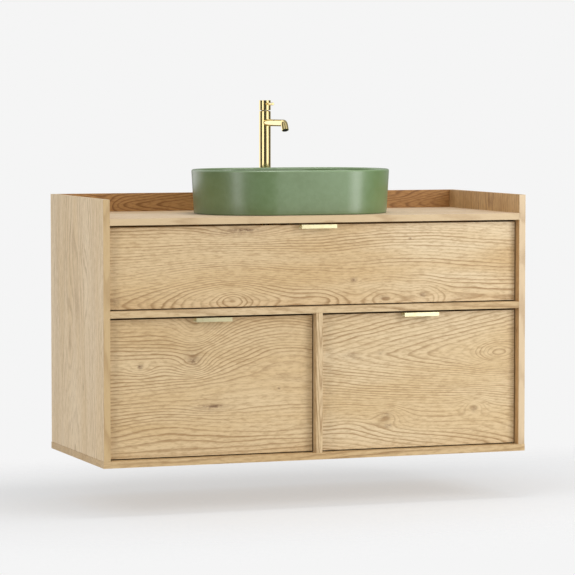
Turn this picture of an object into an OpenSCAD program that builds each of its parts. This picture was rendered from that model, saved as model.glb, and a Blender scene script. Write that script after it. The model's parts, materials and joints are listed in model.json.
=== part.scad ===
// Wall-hung bathroom vanity: an oak carcass with three inset drawers, a vessel basin and a tall mixer tap.
// Millimetres. +Z is up, -Y is the front, +Y is the wall side; the origin is the middle of the underside.

/* [Cabinet] */
// Overall width, over the ends of the bottom panel
cabinet_w = 1200; // [960:10:1500]
// Overall depth, from the wall to the front edges
cabinet_d = 500; // [410:10:620]
// Overall height, from the underside to the top of the side panels
cabinet_h = 700; // [580:10:860]
// Thickness of every carcass board and drawer front
board_t = 18; // [15:1:22]
// Height of the sides and the back upstand above the countertop
upstand_h = 50; // [30:1:80]
// Clear height of the upper drawer's bay
upper_bay_h = 223; // [186:1:280]
// How far the bottom panel stands out past each side panel
bottom_overhang = 1; // [0:0.5:3]
// Height of the rail under the countertop that takes the upper wall bolts
upper_rail_h = 72; // [50:1:74]

/* [Wall bolts] */
// Distance from each side panel to its wall bolts
bolt_inset = 81; // [50:1:200]
// Height of the lower wall bolts above the bottom panel
lower_bolt_h = 40; // [25:1:120]
// Diameter of the wall bolt holes
bolt_hole_d = 9; // [6:0.5:12]

/* [Drawers] */
// How far the drawer fronts sit behind the carcass front
front_recess = 24; // [16:1:32]
// Gap at each side of a drawer front
front_side_gap = 3; // [2:0.5:6]
// Gap above a drawer front, which also clears the handle plate
front_top_gap = 6; // [4:0.5:10]
// Gap below a drawer front
front_bottom_gap = 3; // [2:0.5:8]
// Thickness of the drawer box sides and back
box_board_t = 15; // [12:1:18]
// Thickness of the drawer bottoms
box_bottom_t = 8; // [5:1:12]
// Height of a drawer box above the board below it
box_floor_gap = 16; // [10:1:24]
// Free height above the upper drawer box
upper_box_headroom = 78; // [50:1:100]
// Free height above the lower drawer boxes
lower_box_headroom = 116; // [40:1:160]
// Space between the drawer boxes and the boards at the back of the cabinet
box_back_gap = 42; // [20:1:80]
// Height of a groove's lower edge above the drawer side's lower edge
groove_lift = 12; // [8:1:20]
// Depth of the grooves that hold the drawer bottoms
groove_depth = 6; // [4:1:8]
// Clear width of the upper drawer's slot around the trap
trap_slot_w = 160; // [110:1:220]
// Space between the trap and the closed end of that slot
trap_slot_gap = 25; // [15:1:60]
// Thickness of the boards around the slot
surround_t = 12; // [9:1:16]

/* [Drawer runners] */
// Width of a closed runner, from the carcass to the drawer side
runner_w = 13; // [13:0.5:16]
// Height of the carcass member
runner_h = 45; // [40:1:52]
// Sheet thickness of the three members
runner_t = 1.5; // [1:0.1:2]
// Height of a runner's middle above the drawer box's lower edge
runner_lift = 45; // [36:1:60]

/* [Handles] */
// Length of an edge pull
handle_len = 100; // [60:1:200]
// Sheet thickness of an edge pull
handle_t = 1.5; // [1:0.1:2.5]
// Height of the pull's front lip, plate included
handle_lip_h = 11; // [8:0.5:20]
// Height of the flange on the drawer front's face
handle_face_h = 9; // [5:0.5:20]
// Height of the flange behind the drawer front
handle_rear_h = 20; // [12:1:40]
// How far the lip stays behind the carcass front
handle_setback = 1; // [0.5:0.5:8]

/* [Basin] */
// Length of the basin at its rim
basin_l = 550; // [460:1:700]
// Width of the basin at its rim, front to back
basin_w = 360; // [300:1:432]
// Height of the basin
basin_h = 120; // [100:1:160]
// How far the wall leans out from foot to rim
basin_lean = 7; // [0:1:15]
// Thickness of the basin's wall
basin_wall = 12; // [8:1:18]
// Thickness of the basin's floor
basin_floor_t = 14; // [11:1:22]
// Radius between the bowl's wall and its floor
bowl_fillet = 34; // [10:1:60]
// Space between the basin's rim and the tap
basin_tap_gap = 10; // [5:1:40]

/* [Waste and trap] */
// Diameter of the waste's threaded tube
waste_d = 41.8; // [36:0.1:50]
// Wall of the waste's tube
waste_wall = 4; // [3:0.5:5]
// Diameter of the waste's flange in the basin
waste_flange_d = 63; // [56:1:70]
// Outer diameter of the trap's pipes
pipe_d = 32; // [28:1:40]
// Wall of the trap's pipes
pipe_wall = 1.5; // [1:0.1:2.5]
// Wall of the trap's plastic parts
trap_wall = 3; // [2:0.5:4]
// Outer diameter of the bottle trap
bottle_d = 60; // [54:1:76]
// Drop from the countertop's underside to the middle of the trap's outlet
outlet_drop = 104; // [100:1:110]
// Drop from the middle of the trap's outlet to the underside of its cup
trap_depth = 78; // [74:1:90]
// Space between the outlet nut and the wall
outlet_wall_gap = 28; // [10:1:60]
// Radial clearance of the outlet socket around its pipe
socket_clearance = 0.2; // [0.1:0.05:0.4]

/* [Tap] */
// Distance from the wall to the tap's axis
tap_setback = 70; // [50:1:100]
// Height of the tap above the countertop
tap_h = 306; // [250:1:380]
// Diameter of the tap's column
tap_d = 32; // [28:1:44]
// Height of the turning cap at the top
cap_h = 27.5; // [26:0.5:40]
// Gap between the cap and the column
cap_gap = 3; // [3:0.5:5]
// Distance from the tap's axis to the middle of the spout's bend
spout_reach = 155; // [120:1:220]
// Drop from the tap's top to the spout's axis
spout_drop = 62; // [56:1:80]
// Diameter of the spout
spout_d = 19; // [16:0.5:24]
// Wall of the spout
spout_wall = 1.5; // [1:0.1:2.5]
// Lean of the spout's nose from the vertical, in degrees
nose_lean = 27; // [0:1:40]
// Length of the nose from the middle of the bend
nose_len = 22; // [18:1:40]
// Reach of the lever from the tap's axis
lever_reach = 65; // [45:1:100]
// Diameter of the lever
lever_d = 7.5; // [5:0.5:10]

/* [Hidden] */
$fn = 96;
cut = 1; // how far a cutter runs past the face it opens
running = 0.05; // radial clearance of a shaft that turns or slides in its hole

// Carcass planes
y_front = -cabinet_d / 2;
y_back = cabinet_d / 2;
x_out = cabinet_w / 2 - bottom_overhang;
x_in = x_out - board_t;
top_z = cabinet_h - upstand_h;
under_z = top_z - board_t;
shelf_top = under_z - upper_bay_h;
shelf_bottom = shelf_top - board_t;
rail_y = y_back - board_t;
bolt_x = x_in - bolt_inset;
upper_bolt_z = under_z - upper_rail_h / 2;
lower_bolt_z = board_t + lower_bolt_h;
waste_hole_gap = 2; // radial, around the waste in the countertop
shank_hole_gap = 4; // radial, around the tap's shank in the countertop

// Screws that join the bottom panel to the uprights
screw_r = 3.5;
screw_head_r = 5;
screw_head_h = 3;
screw_len = 50;
screw_inset = 50;
screw_x = [-(x_out - board_t / 2), 0, x_out - board_t / 2];
screw_y = [y_front + screw_inset, 0, rail_y - screw_inset];

// Drawer bays: [left, right, floor, ceiling, free height above the box]
upper_bay = [-x_in, x_in, shelf_top, under_z, upper_box_headroom];
left_bay = [-x_in, -board_t / 2, board_t, shelf_bottom, lower_box_headroom];
right_bay = [board_t / 2, x_in, board_t, shelf_bottom, lower_box_headroom];
front_y0 = y_front + front_recess;
front_y1 = front_y0 + board_t;
box_end = rail_y - box_back_gap;
function box_left(bay) = bay[0] + runner_w;
function box_right(bay) = bay[1] - runner_w;
function box_bottom_z(bay) = bay[2] + box_floor_gap;
function box_top_z(bay) = bay[3] - bay[4];
function groove_z(bay) = box_bottom_z(bay) + groove_lift;
function floor_top_z(bay) = groove_z(bay) + box_bottom_t;

// Runner members: distances from the carcass, heights and the play between them
runner_end_gap = 3;
runner_y = front_y1 + runner_end_gap;
runner_len = box_end - runner_end_gap - runner_y;
runner_play = 1;
outer_depth = runner_w - 3;
middle_start = runner_t + runner_play;
middle_end = runner_w - runner_t;
middle_h = runner_h - 8;
inner_depth = runner_w - middle_start - runner_t - runner_play;
inner_h = middle_h - 11;

// Handle section
handle_lip_y = y_front + handle_setback;

// Basin
tap_y = y_back - tap_setback;
basin_y = tap_y - tap_d / 2 - basin_tap_gap - basin_w / 2;
basin_floor_z = top_z + basin_floor_t;
basin_straight = basin_l - basin_w;
rim_r = basin_wall / 2;
foot_r = 3;
arc_steps = 6;
lean_angle = atan2(basin_lean, basin_h);

// Waste: a flanged tube through the basin and the countertop
flange_t = 2.5;
flange_play = 0.5;
waste_r = waste_d / 2;
waste_play = 1; // radial, around the waste in the basin
waste_bore_r = waste_r - waste_wall;
waste_drop = 42; // from the countertop's underside
waste_end_z = under_z - waste_drop;
gasket_t = 3;
gasket_rim = 11;
backnut_h = 10;
backnut_rim = 11;
bridge_t = 4;
bridge_h = 10;
bridge_drop = 30;
bridge_z = basin_floor_z - bridge_drop;
hub_wall = 3;

// Waste plug
plug_t = 5;
plug_edge = 2;
plug_lift = 0.3;
plug_r = waste_flange_d / 2 - 2;
stem_r = 4;
stem_len = 42;

// Trap: pipes, bottle and nuts
pipe_r = pipe_d / 2;
pipe_bore_r = pipe_r - pipe_wall;
bottle_r = bottle_d / 2;
outlet_z = under_z - outlet_drop;
collar_t = 3;
collar_r = waste_r - 0.4;
coupling_h = 24;
coupling_lap = 9; // how far the coupling nut hangs below the waste
coupling_wall = 5;
neck_r = pipe_r + 5;
neck_len = 15;
shoulder = 4; // between the outlet and the bottle's top
bottle_top_z = outlet_z + pipe_r + shoulder;
neck_top_z = bottle_top_z + neck_len;
nut_wall = 5;
nut_start = 1; // from the bottle's top to the inlet nut
cup_grip_h = 12; // overlap of the cup and the bottle
cup_gap = 8; // between the cup and the outlet's boss
cup_floor_t = trap_wall + 1;
cup_z = outlet_z - trap_depth;
bottle_end_z = outlet_z - pipe_r - trap_wall - cup_gap - cup_grip_h;
dip_gap = 12; // between the inlet tube and the cup's underside
boss_len = bottle_r + 12;
arm_lap = 8; // how far the outlet arm runs into the boss
socket_r = pipe_r + socket_clearance;
socket_len = 30;
outlet_nut_end = y_back - outlet_wall_gap;
outlet_nut_lip = 4;
outlet_nut_grip = 22;
outlet_lip_play = 0.6;
socket_end = outlet_nut_end - outlet_nut_lip;
slot_y = basin_y - bottle_r - trap_wall - trap_slot_gap;

// Tap: shank, column and fixings
tap_r = tap_d / 2;
base_ring_t = 4;
base_ring_rim = 6;
shank_r = 13.5;
shank_drop = 47;
shank_end_z = under_z - shank_drop;
inlet_r = 4.5;
inlet_x = 6.5;
inlet_depth = 14;
washer_t = 3;
washer_rim = 11;
clamp_nut_h = 9;
clamp_nut_rim = 7;
cap_z = top_z + tap_h - cap_h;
column_top_z = cap_z - cap_gap;

// Tap: cartridge, spindle, cap and lever
cartridge_r = tap_r - 3.2;
cartridge_depth = 17.5;
tap_neck_r = cartridge_r - 4;
tap_neck_h = 4.5;
shaft_r = 5;
shaft_depth = 10;
shaft_end_gap = 1;
spindle_rim = 0.5; // the spindle's head is this much slimmer than the neck
spindle_z = column_top_z + tap_neck_h + 0.3;
spindle_top_z = cap_z + 9.5;
cap_wall = 3;
cavity_h = 12;
pivot_y = 5; // the tilt pin sits behind the tap's axis
pivot_z = cap_z + 5.5;
pin_r = 1.5;
pin_reach = sqrt(tap_r * tap_r - pivot_y * pivot_y) - 1.5;
pin_end_gap = 0.5;
lever_z = cap_z + 17.5;
lever_seat = 9; // how far the lever runs into the cap
lever_edge = 1;

// Tap: spout
spout_r = spout_d / 2;
spout_bore_r = spout_r - spout_wall;
spout_z = top_z + tap_h - spout_drop;
bend_r = spout_r + 2.5;
bend_angle = 90 - nose_lean;
bend_run = bend_r * tan(bend_angle / 2);
bend_bead = 0.05; // the bend is this much fuller than the straight tube
bend_lap = 0.5;
aerator_h = 8;
aerator_sink = 1.5;
aerator_rim = 1.5;

OAK = "burlywood";
BOX = "gainsboro";
STEEL = "silver";
BRASS = "goldenrod";
GREEN = [0.42, 0.53, 0.36];
WHITE = "whitesmoke";
RUBBER = [0.12, 0.12, 0.12];

// ---------------------------------------------------------------- helpers

// A box between two corners
module box(low, high) {
    translate(low) cube(high - low);
}

// A round bar or cutter along +Y
module bar_y(x, y, z, r, len) {
    translate([x, y, z]) rotate([-90, 0, 0]) cylinder(r = r, h = len);
}

// A ring or tube standing on z
module tube(x, y, z, r_out, r_in, h) {
    translate([x, y, z]) difference() {
        cylinder(r = r_out, h = h);
        translate([0, 0, -cut]) cylinder(r = r_in, h = h + 2 * cut);
    }
}

// A hexagon nut of a given width across its corners
module hex_nut(x, y, z, corner_r, r_in, h) {
    translate([x, y, z]) difference() {
        cylinder(r = corner_r, h = h, $fn = 6);
        translate([0, 0, -cut]) cylinder(r = r_in, h = h + 2 * cut);
    }
}

// ---------------------------------------------------------------- carcass

// One screw that joins the bottom panel to an upright, head down
module carcass_screw() {
    cylinder(r = screw_head_r, h = screw_head_h);
    cylinder(r = screw_r, h = screw_len);
}

module each_screw() {
    for (x = screw_x, y = screw_y) translate([x, y, 0]) children();
}

module carcass_screws() {
    color(STEEL) each_screw() carcass_screw();
}

module side_panel(side) {
    color(OAK) difference() {
        box([side > 0 ? x_in : -x_out, y_front, board_t], [side > 0 ? x_out : -x_in, y_back, cabinet_h]);
        each_screw() carcass_screw();
    }
}

module bottom_panel() {
    color(OAK) difference() {
        box([-cabinet_w / 2, y_front, 0], [cabinet_w / 2, y_back, board_t]);
        each_screw() carcass_screw();
    }
}

module countertop() {
    color(OAK) difference() {
        box([-x_in, y_front, under_z], [x_in, y_back, top_z]);
        translate([0, basin_y, under_z - cut]) cylinder(r = waste_r + waste_hole_gap, h = board_t + 2 * cut);
        translate([0, tap_y, under_z - cut]) cylinder(r = shank_r + shank_hole_gap, h = board_t + 2 * cut);
    }
}

module back_upstand() {
    color(OAK) box([-x_in, rail_y, top_z], [x_in, y_back, cabinet_h]);
}

module middle_shelf() {
    color(OAK) box([-x_in, y_front, shelf_bottom], [x_in, rail_y, shelf_top]);
}

module centre_divider() {
    color(OAK) difference() {
        box([-board_t / 2, y_front, board_t], [board_t / 2, rail_y, shelf_bottom]);
        each_screw() carcass_screw();
    }
}

// A board between the sides, against the wall, with a wall bolt hole near each end
module back_board(z0, z1, bolt_z) {
    color(OAK) difference() {
        box([-x_in, rail_y, z0], [x_in, y_back, z1]);
        for (side = [-1, 1]) bar_y(side * bolt_x, rail_y - cut, bolt_z, bolt_hole_d / 2, board_t + 2 * cut);
    }
}

// ---------------------------------------------------------------- drawer runners

// Channel sections: x is the distance from the carcass, y the height
module channel(x0, x1, h) {
    difference() {
        translate([x0, -h / 2]) square([x1 - x0, h]);
        translate([x0 + runner_t, -h / 2 + runner_t]) square([x1 - x0, h - 2 * runner_t]);
    }
}

module outer_section() {
    channel(0, outer_depth, runner_h);
}

module middle_section() {
    channel(middle_start, middle_end, middle_h);
}

module inner_section() {
    translate([runner_w, 0]) mirror([1, 0]) channel(0, inner_depth, inner_h);
}

// The same member at both sides of a bay
module runner_pair(bay) {
    z = box_bottom_z(bay) + runner_lift;
    for (side = [0, 1]) {
        translate([bay[side], runner_y, z]) mirror([side, 0, 0])
            translate([0, runner_len, 0]) rotate([90, 0, 0]) linear_extrude(runner_len) children();
    }
}

// ---------------------------------------------------------------- drawers

module drawer_front(bay) {
    color(OAK) box(
        [bay[0] + front_side_gap, front_y0, bay[2] + front_bottom_gap],
        [bay[1] - front_side_gap, front_y1, bay[3] - front_top_gap]
    );
}

module drawer_floor_slab(bay) {
    box(
        [box_left(bay) + box_board_t - groove_depth, front_y1, groove_z(bay)],
        [box_right(bay) - box_board_t + groove_depth, box_end, floor_top_z(bay)]
    );
}

module drawer_side(bay, side) {
    x0 = side > 0 ? box_right(bay) - box_board_t : box_left(bay);
    color(BOX) difference() {
        box([x0, front_y1, box_bottom_z(bay)], [x0 + box_board_t, box_end, box_top_z(bay)]);
        drawer_floor_slab(bay);
    }
}

module drawer_back(bay) {
    color(BOX) box(
        [box_left(bay) + box_board_t, box_end - box_board_t, floor_top_z(bay)],
        [box_right(bay) - box_board_t, box_end, box_top_z(bay)]
    );
}

module drawer_bottom(bay) {
    color(BOX) drawer_floor_slab(bay);
}

// The volume that the upper drawer leaves free around the trap
module trap_slot() {
    box(
        [-trap_slot_w / 2, slot_y, shelf_top],
        [trap_slot_w / 2, box_end + cut, under_z]
    );
}

module upper_drawer_back() {
    color(BOX) difference() {
        drawer_back(upper_bay);
        trap_slot();
    }
}

module upper_drawer_bottom() {
    color(BOX) difference() {
        drawer_floor_slab(upper_bay);
        trap_slot();
    }
}

module upper_drawer_trap_surround() {
    color(BOX) difference() {
        box(
            [-trap_slot_w / 2 - surround_t, slot_y - surround_t, floor_top_z(upper_bay)],
            [trap_slot_w / 2 + surround_t, box_end - box_board_t, box_top_z(upper_bay)]
        );
        trap_slot();
    }
}

// ---------------------------------------------------------------- handles

// Section of an edge pull over the drawer front's top edge: x is depth, y is height above that edge
module handle_section() {
    y0 = handle_lip_y;
    difference() {
        union() {
            translate([y0 + handle_t, 0]) square([front_y1 - y0 - handle_t, handle_t]);
            translate([y0, handle_t - handle_lip_h]) square([handle_t, handle_lip_h - handle_t]);
            translate([front_y0 - handle_t, -handle_face_h]) square([handle_t, handle_face_h]);
            translate([front_y1, -handle_rear_h]) square([handle_t, handle_rear_h]);
            for (y = [y0 + handle_t, front_y1]) translate([y, 0]) circle(r = handle_t);
        }
        translate([y0 + handle_t, -handle_t]) square([front_y0 - y0 - 2 * handle_t, handle_t]);
        translate([front_y0, -handle_t]) square([board_t, handle_t]);
    }
}

module handle(bay) {
    x = (bay[0] + bay[1]) / 2;
    color(BRASS) translate([x - handle_len / 2, 0, bay[3] - front_top_gap])
        rotate([90, 0, 90]) linear_extrude(handle_len) handle_section();
}

// ---------------------------------------------------------------- basin

// Points on an arc, from one angle to another
function arc(cx, cy, r, a0, a1) =
    [for (i = [0:arc_steps]) let (a = a0 + (a1 - a0) * i / arc_steps) [cx + r * cos(a), cy + r * sin(a)]];

// Half of the basin's cross-section: x is the distance from its long axis, y the height above the countertop
module basin_half_section() {
    rim_x = basin_w / 2 - rim_r;
    rim_y = basin_h - rim_r;
    foot_x = basin_w / 2 - basin_lean;
    bowl_y = basin_floor_t + bowl_fillet;
    bowl_x = rim_x - rim_r / cos(lean_angle) - (rim_y - bowl_y) * tan(lean_angle)
        - bowl_fillet / cos(lean_angle);
    polygon(concat(
        [[0, 0]],
        arc(foot_x - foot_r, foot_r, foot_r, -90, -lean_angle),
        arc(rim_x, rim_y, rim_r, -lean_angle, 180 - lean_angle),
        arc(bowl_x, bowl_y, bowl_fillet, -lean_angle, -90),
        [[0, basin_floor_t]]
    ));
}

module basin_shell() {
    for (side = [0, 1]) {
        mirror([side, 0, 0]) translate([basin_straight / 2, 0, 0])
            rotate([0, 0, -90]) rotate_extrude(angle = 180) basin_half_section();
        mirror([0, side, 0]) translate([-basin_straight / 2, 0, 0])
            rotate([90, 0, 90]) linear_extrude(basin_straight) basin_half_section();
    }
}

module basin() {
    color(GREEN) difference() {
        translate([0, basin_y, top_z]) basin_shell();
        translate([0, basin_y, top_z - cut]) cylinder(r = waste_r + waste_play, h = basin_floor_t + 2 * cut);
        translate([0, basin_y, basin_floor_z - flange_t])
            cylinder(r = waste_flange_d / 2 + flange_play, h = flange_t + cut);
    }
}

// ---------------------------------------------------------------- waste

// The waste, with a bridge across its bore that guides the plug's stem
module waste_body() {
    color(BRASS) translate([0, basin_y, 0]) difference() {
        union() {
            difference() {
                union() {
                    translate([0, 0, basin_floor_z - flange_t]) cylinder(r = waste_flange_d / 2, h = flange_t);
                    translate([0, 0, waste_end_z])
                        cylinder(r = waste_r, h = basin_floor_z - flange_t - waste_end_z);
                }
                translate([0, 0, waste_end_z - cut])
                    cylinder(r = waste_bore_r, h = basin_floor_z - waste_end_z + 2 * cut);
            }
            box(
                [-waste_bore_r - waste_wall / 2, -bridge_t / 2, bridge_z],
                [waste_bore_r + waste_wall / 2, bridge_t / 2, bridge_z + bridge_h]
            );
            translate([0, 0, bridge_z]) cylinder(r = stem_r + hub_wall, h = bridge_h);
        }
        translate([0, 0, bridge_z - cut]) cylinder(r = stem_r + running, h = bridge_h + 2 * cut);
    }
}

module waste_gasket() {
    color(RUBBER) tube(0, basin_y, under_z - gasket_t, waste_r + gasket_rim, waste_r, gasket_t);
}

module waste_backnut() {
    color(BRASS)
        hex_nut(0, basin_y, under_z - gasket_t - backnut_h, waste_r + backnut_rim, waste_r, backnut_h);
}

// The push plug: a cap over the waste on a stem that slides in the bridge
module waste_plug() {
    color(BRASS) translate([0, basin_y, basin_floor_z + plug_lift]) rotate_extrude() polygon([
        [0, -stem_len], [stem_r, -stem_len], [stem_r, 0], [plug_r, 0], [plug_r, plug_t - plug_edge],
        [plug_r - plug_edge, plug_t], [0, plug_t]
    ]);
}

// ---------------------------------------------------------------- trap

// The nut that hangs the inlet tube's collar on the waste
module trap_coupling_nut() {
    color(WHITE) translate([0, basin_y, waste_end_z]) difference() {
        translate([0, 0, -coupling_lap]) cylinder(r = waste_r + coupling_wall, h = coupling_h);
        translate([0, 0, -collar_t]) cylinder(r = waste_r, h = coupling_h);
        translate([0, 0, -coupling_lap - cut]) cylinder(r = pipe_r, h = coupling_h);
    }
}

module trap_inlet_tube() {
    dip_z = cup_z + dip_gap;
    color(WHITE) translate([0, basin_y, 0]) difference() {
        union() {
            translate([0, 0, dip_z]) cylinder(r = pipe_r, h = waste_end_z - dip_z);
            translate([0, 0, waste_end_z - collar_t]) cylinder(r = collar_r, h = collar_t);
        }
        translate([0, 0, dip_z - cut]) cylinder(r = pipe_bore_r, h = waste_end_z - dip_z + 2 * cut);
    }
}

module trap_inlet_nut() {
    nut_z = bottle_top_z + nut_start;
    color(WHITE) translate([0, basin_y, 0]) difference() {
        translate([0, 0, nut_z]) cylinder(r = neck_r + nut_wall, h = neck_top_z + nut_wall - nut_z);
        translate([0, 0, nut_z - cut]) cylinder(r = neck_r, h = neck_top_z - nut_z + cut);
        translate([0, 0, nut_z]) cylinder(r = pipe_r, h = neck_top_z);
    }
}

module trap_bottle() {
    bore_r = bottle_r - trap_wall;
    color(WHITE) translate([0, basin_y, 0]) difference() {
        union() {
            translate([0, 0, bottle_end_z]) cylinder(r = bottle_r, h = bottle_top_z - bottle_end_z);
            translate([0, 0, bottle_top_z]) cylinder(r = neck_r, h = neck_top_z - bottle_top_z);
            bar_y(0, 0, outlet_z, pipe_r + trap_wall, boss_len);
        }
        translate([0, 0, bottle_end_z - cut])
            cylinder(r = bore_r, h = bottle_top_z - trap_wall - bottle_end_z + cut);
        translate([0, 0, bottle_end_z]) cylinder(r = pipe_r, h = neck_top_z - bottle_end_z + cut);
        bar_y(0, 0, outlet_z, pipe_bore_r, boss_len + cut);
        bar_y(0, boss_len - arm_lap, outlet_z, pipe_r, arm_lap + cut);
    }
}

// The screw-off cup that catches what falls in the trap
module trap_cup() {
    color(WHITE) translate([0, basin_y, cup_z]) difference() {
        cylinder(r = bottle_r + trap_wall, h = bottle_end_z - cup_z + cup_grip_h);
        translate([0, 0, cup_floor_t]) cylinder(r = bottle_r - trap_wall, h = bottle_end_z - cup_z);
        translate([0, 0, bottle_end_z - cup_z]) cylinder(r = bottle_r, h = cup_grip_h + cut);
    }
}

module trap_outlet_arm() {
    arm_y = basin_y + boss_len - arm_lap;
    socket_y = socket_end - socket_len;
    color(WHITE) difference() {
        union() {
            bar_y(0, arm_y, outlet_z, pipe_r, socket_end - arm_y);
            bar_y(0, socket_y - trap_wall, outlet_z, socket_r + trap_wall, socket_len + trap_wall);
        }
        bar_y(0, arm_y - cut, outlet_z, pipe_bore_r, socket_end - arm_y + 2 * cut);
        bar_y(0, socket_y, outlet_z, socket_r, socket_len + cut);
    }
}

module trap_outlet_nut() {
    nut_y = socket_end - outlet_nut_grip;
    color(WHITE) difference() {
        bar_y(0, nut_y, outlet_z, socket_r + trap_wall + nut_wall, outlet_nut_end - nut_y);
        bar_y(0, nut_y - cut, outlet_z, socket_r + trap_wall, outlet_nut_grip + cut);
        bar_y(0, nut_y, outlet_z, socket_r + outlet_lip_play, outlet_nut_end - nut_y + cut);
    }
}

// ---------------------------------------------------------------- tap

// A solid that follows the spout's axis, from the tap's axis round the bend to its nose
module spout_bar(r, nose_end) {
    bend_y = tap_y - spout_reach;
    start = bend_run - bend_lap;
    bar_y(0, bend_y + start, spout_z, r, tap_y - bend_y - start);
    translate([0, bend_y + bend_run, spout_z - bend_r]) rotate([0, -90, 180])
        rotate_extrude(angle = bend_angle) translate([bend_r, 0]) circle(r = r + bend_bead);
    translate([0, bend_y, spout_z]) rotate([180 - nose_lean, 0, 0])
        translate([0, 0, start]) cylinder(r = r, h = nose_end - start);
}

module tap_column() {
    color(BRASS) difference() {
        union() {
            translate([0, tap_y, top_z + base_ring_t])
                cylinder(r = tap_r, h = column_top_z - top_z - base_ring_t);
            translate([0, tap_y, shank_end_z]) cylinder(r = shank_r, h = top_z + base_ring_t - shank_end_z);
        }
        translate([0, tap_y, column_top_z - cartridge_depth])
            cylinder(r = cartridge_r, h = cartridge_depth + cut);
        bar_y(0, tap_y - tap_r - cut, spout_z, spout_bore_r, tap_r + cut);
        for (side = [-1, 1])
            translate([side * inlet_x, tap_y, shank_end_z - cut]) cylinder(r = inlet_r, h = inlet_depth + cut);
    }
}

module tap_base_ring() {
    color(BRASS) tube(0, tap_y, top_z, tap_r + base_ring_rim, shank_r, base_ring_t);
}

module tap_clamp_washer() {
    color(STEEL) tube(0, tap_y, under_z - washer_t, shank_r + washer_rim, shank_r, washer_t);
}

module tap_clamp_nut() {
    color(BRASS)
        hex_nut(0, tap_y, under_z - washer_t - clamp_nut_h, shank_r + clamp_nut_rim, shank_r, clamp_nut_h);
}

module tap_spout() {
    color(BRASS) difference() {
        spout_bar(spout_r, nose_len);
        spout_bar(spout_bore_r, nose_len + cut);
        translate([0, tap_y, spout_z - spout_d]) cylinder(r = tap_r, h = 2 * spout_d);
    }
}

// The aerator in the end of the nose, with a sunk face
module tap_aerator() {
    color(RUBBER) translate([0, tap_y - spout_reach, spout_z]) rotate([180 - nose_lean, 0, 0])
        translate([0, 0, nose_len - aerator_h]) difference() {
            cylinder(r = spout_bore_r, h = aerator_h);
            translate([0, 0, aerator_h - aerator_sink])
                cylinder(r = spout_bore_r - aerator_rim, h = aerator_sink + cut);
        }
}

// The ceramic cartridge in the column, with the neck that the cap hides
module tap_cartridge() {
    color(WHITE) translate([0, tap_y, column_top_z]) difference() {
        union() {
            translate([0, 0, -cartridge_depth]) cylinder(r = cartridge_r, h = cartridge_depth);
            cylinder(r = tap_neck_r, h = tap_neck_h);
        }
        translate([0, 0, -shaft_depth]) cylinder(r = shaft_r + running, h = shaft_depth + tap_neck_h + cut);
    }
}

// The spindle that turns in the cartridge and carries the pin that the cap tilts on
module tap_spindle() {
    shaft_z = column_top_z - shaft_depth + shaft_end_gap;
    color(STEEL) translate([0, tap_y, 0]) {
        translate([0, 0, shaft_z]) cylinder(r = shaft_r, h = spindle_z - shaft_z + cut);
        translate([0, 0, spindle_z]) cylinder(r = tap_neck_r - spindle_rim, h = spindle_top_z - spindle_z);
        translate([-pin_reach, pivot_y, pivot_z]) rotate([0, 90, 0]) cylinder(r = pin_r, h = 2 * pin_reach);
    }
}

module tap_cap() {
    hole_reach = pin_reach + pin_end_gap;
    color(BRASS) translate([0, tap_y, 0]) difference() {
        translate([0, 0, cap_z]) cylinder(r = tap_r, h = cap_h);
        translate([0, 0, cap_z - cut]) cylinder(r = tap_r - cap_wall, h = cavity_h + cut);
        translate([-hole_reach, pivot_y, pivot_z]) rotate([0, 90, 0])
            cylinder(r = pin_r + running, h = 2 * hole_reach);
        bar_y(0, -tap_r - cut, lever_z, lever_d / 2, lever_seat + cut);
    }
}

module tap_lever() {
    r = lever_d / 2;
    length = lever_reach - tap_r + lever_seat;
    color(BRASS) translate([0, tap_y - tap_r + lever_seat, lever_z]) rotate([90, 0, 0]) rotate_extrude()
        polygon([[0, 0], [r, 0], [r, length - lever_edge], [r - lever_edge, length], [0, length]]);
}

// ---------------------------------------------------------------- nodes

side_panel(-1);  // left_side_panel
side_panel(1);  // right_side_panel
bottom_panel();
countertop();
back_upstand();
middle_shelf();
centre_divider();
back_board(under_z - upper_rail_h, under_z, upper_bolt_z);  // upper_back_rail
back_board(board_t, shelf_top, lower_bolt_z);  // lower_back_panel
carcass_screws();
color(STEEL) runner_pair(upper_bay) outer_section();  // upper_runner_outer
color(STEEL) runner_pair(left_bay) outer_section();  // lower_left_runner_outer
color(STEEL) runner_pair(right_bay) outer_section();  // lower_right_runner_outer

basin();
waste_body();
waste_gasket();
waste_backnut();
waste_plug();
trap_coupling_nut();
trap_inlet_tube();
trap_inlet_nut();
trap_bottle();
trap_cup();
trap_outlet_arm();
trap_outlet_nut();

tap_column();
tap_base_ring();
tap_spout();
tap_aerator();
tap_cartridge();
tap_clamp_washer();
tap_clamp_nut();
tap_spindle();
tap_cap();
tap_lever();

drawer_front(upper_bay);  // upper_drawer_front
drawer_side(upper_bay, -1);  // upper_drawer_left_side
drawer_side(upper_bay, 1);  // upper_drawer_right_side
upper_drawer_back();
upper_drawer_bottom();
upper_drawer_trap_surround();
handle(upper_bay);  // upper_handle
color(STEEL) runner_pair(upper_bay) middle_section();  // upper_runner_middle
color(STEEL) runner_pair(upper_bay) inner_section();  // upper_runner_inner

drawer_front(left_bay);  // lower_left_drawer_front
drawer_side(left_bay, -1);  // lower_left_drawer_left_side
drawer_side(left_bay, 1);  // lower_left_drawer_right_side
drawer_back(left_bay);  // lower_left_drawer_back
drawer_bottom(left_bay);  // lower_left_drawer_bottom
handle(left_bay);  // lower_left_handle
color(STEEL) runner_pair(left_bay) middle_section();  // lower_left_runner_middle
color(STEEL) runner_pair(left_bay) inner_section();  // lower_left_runner_inner

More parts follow.
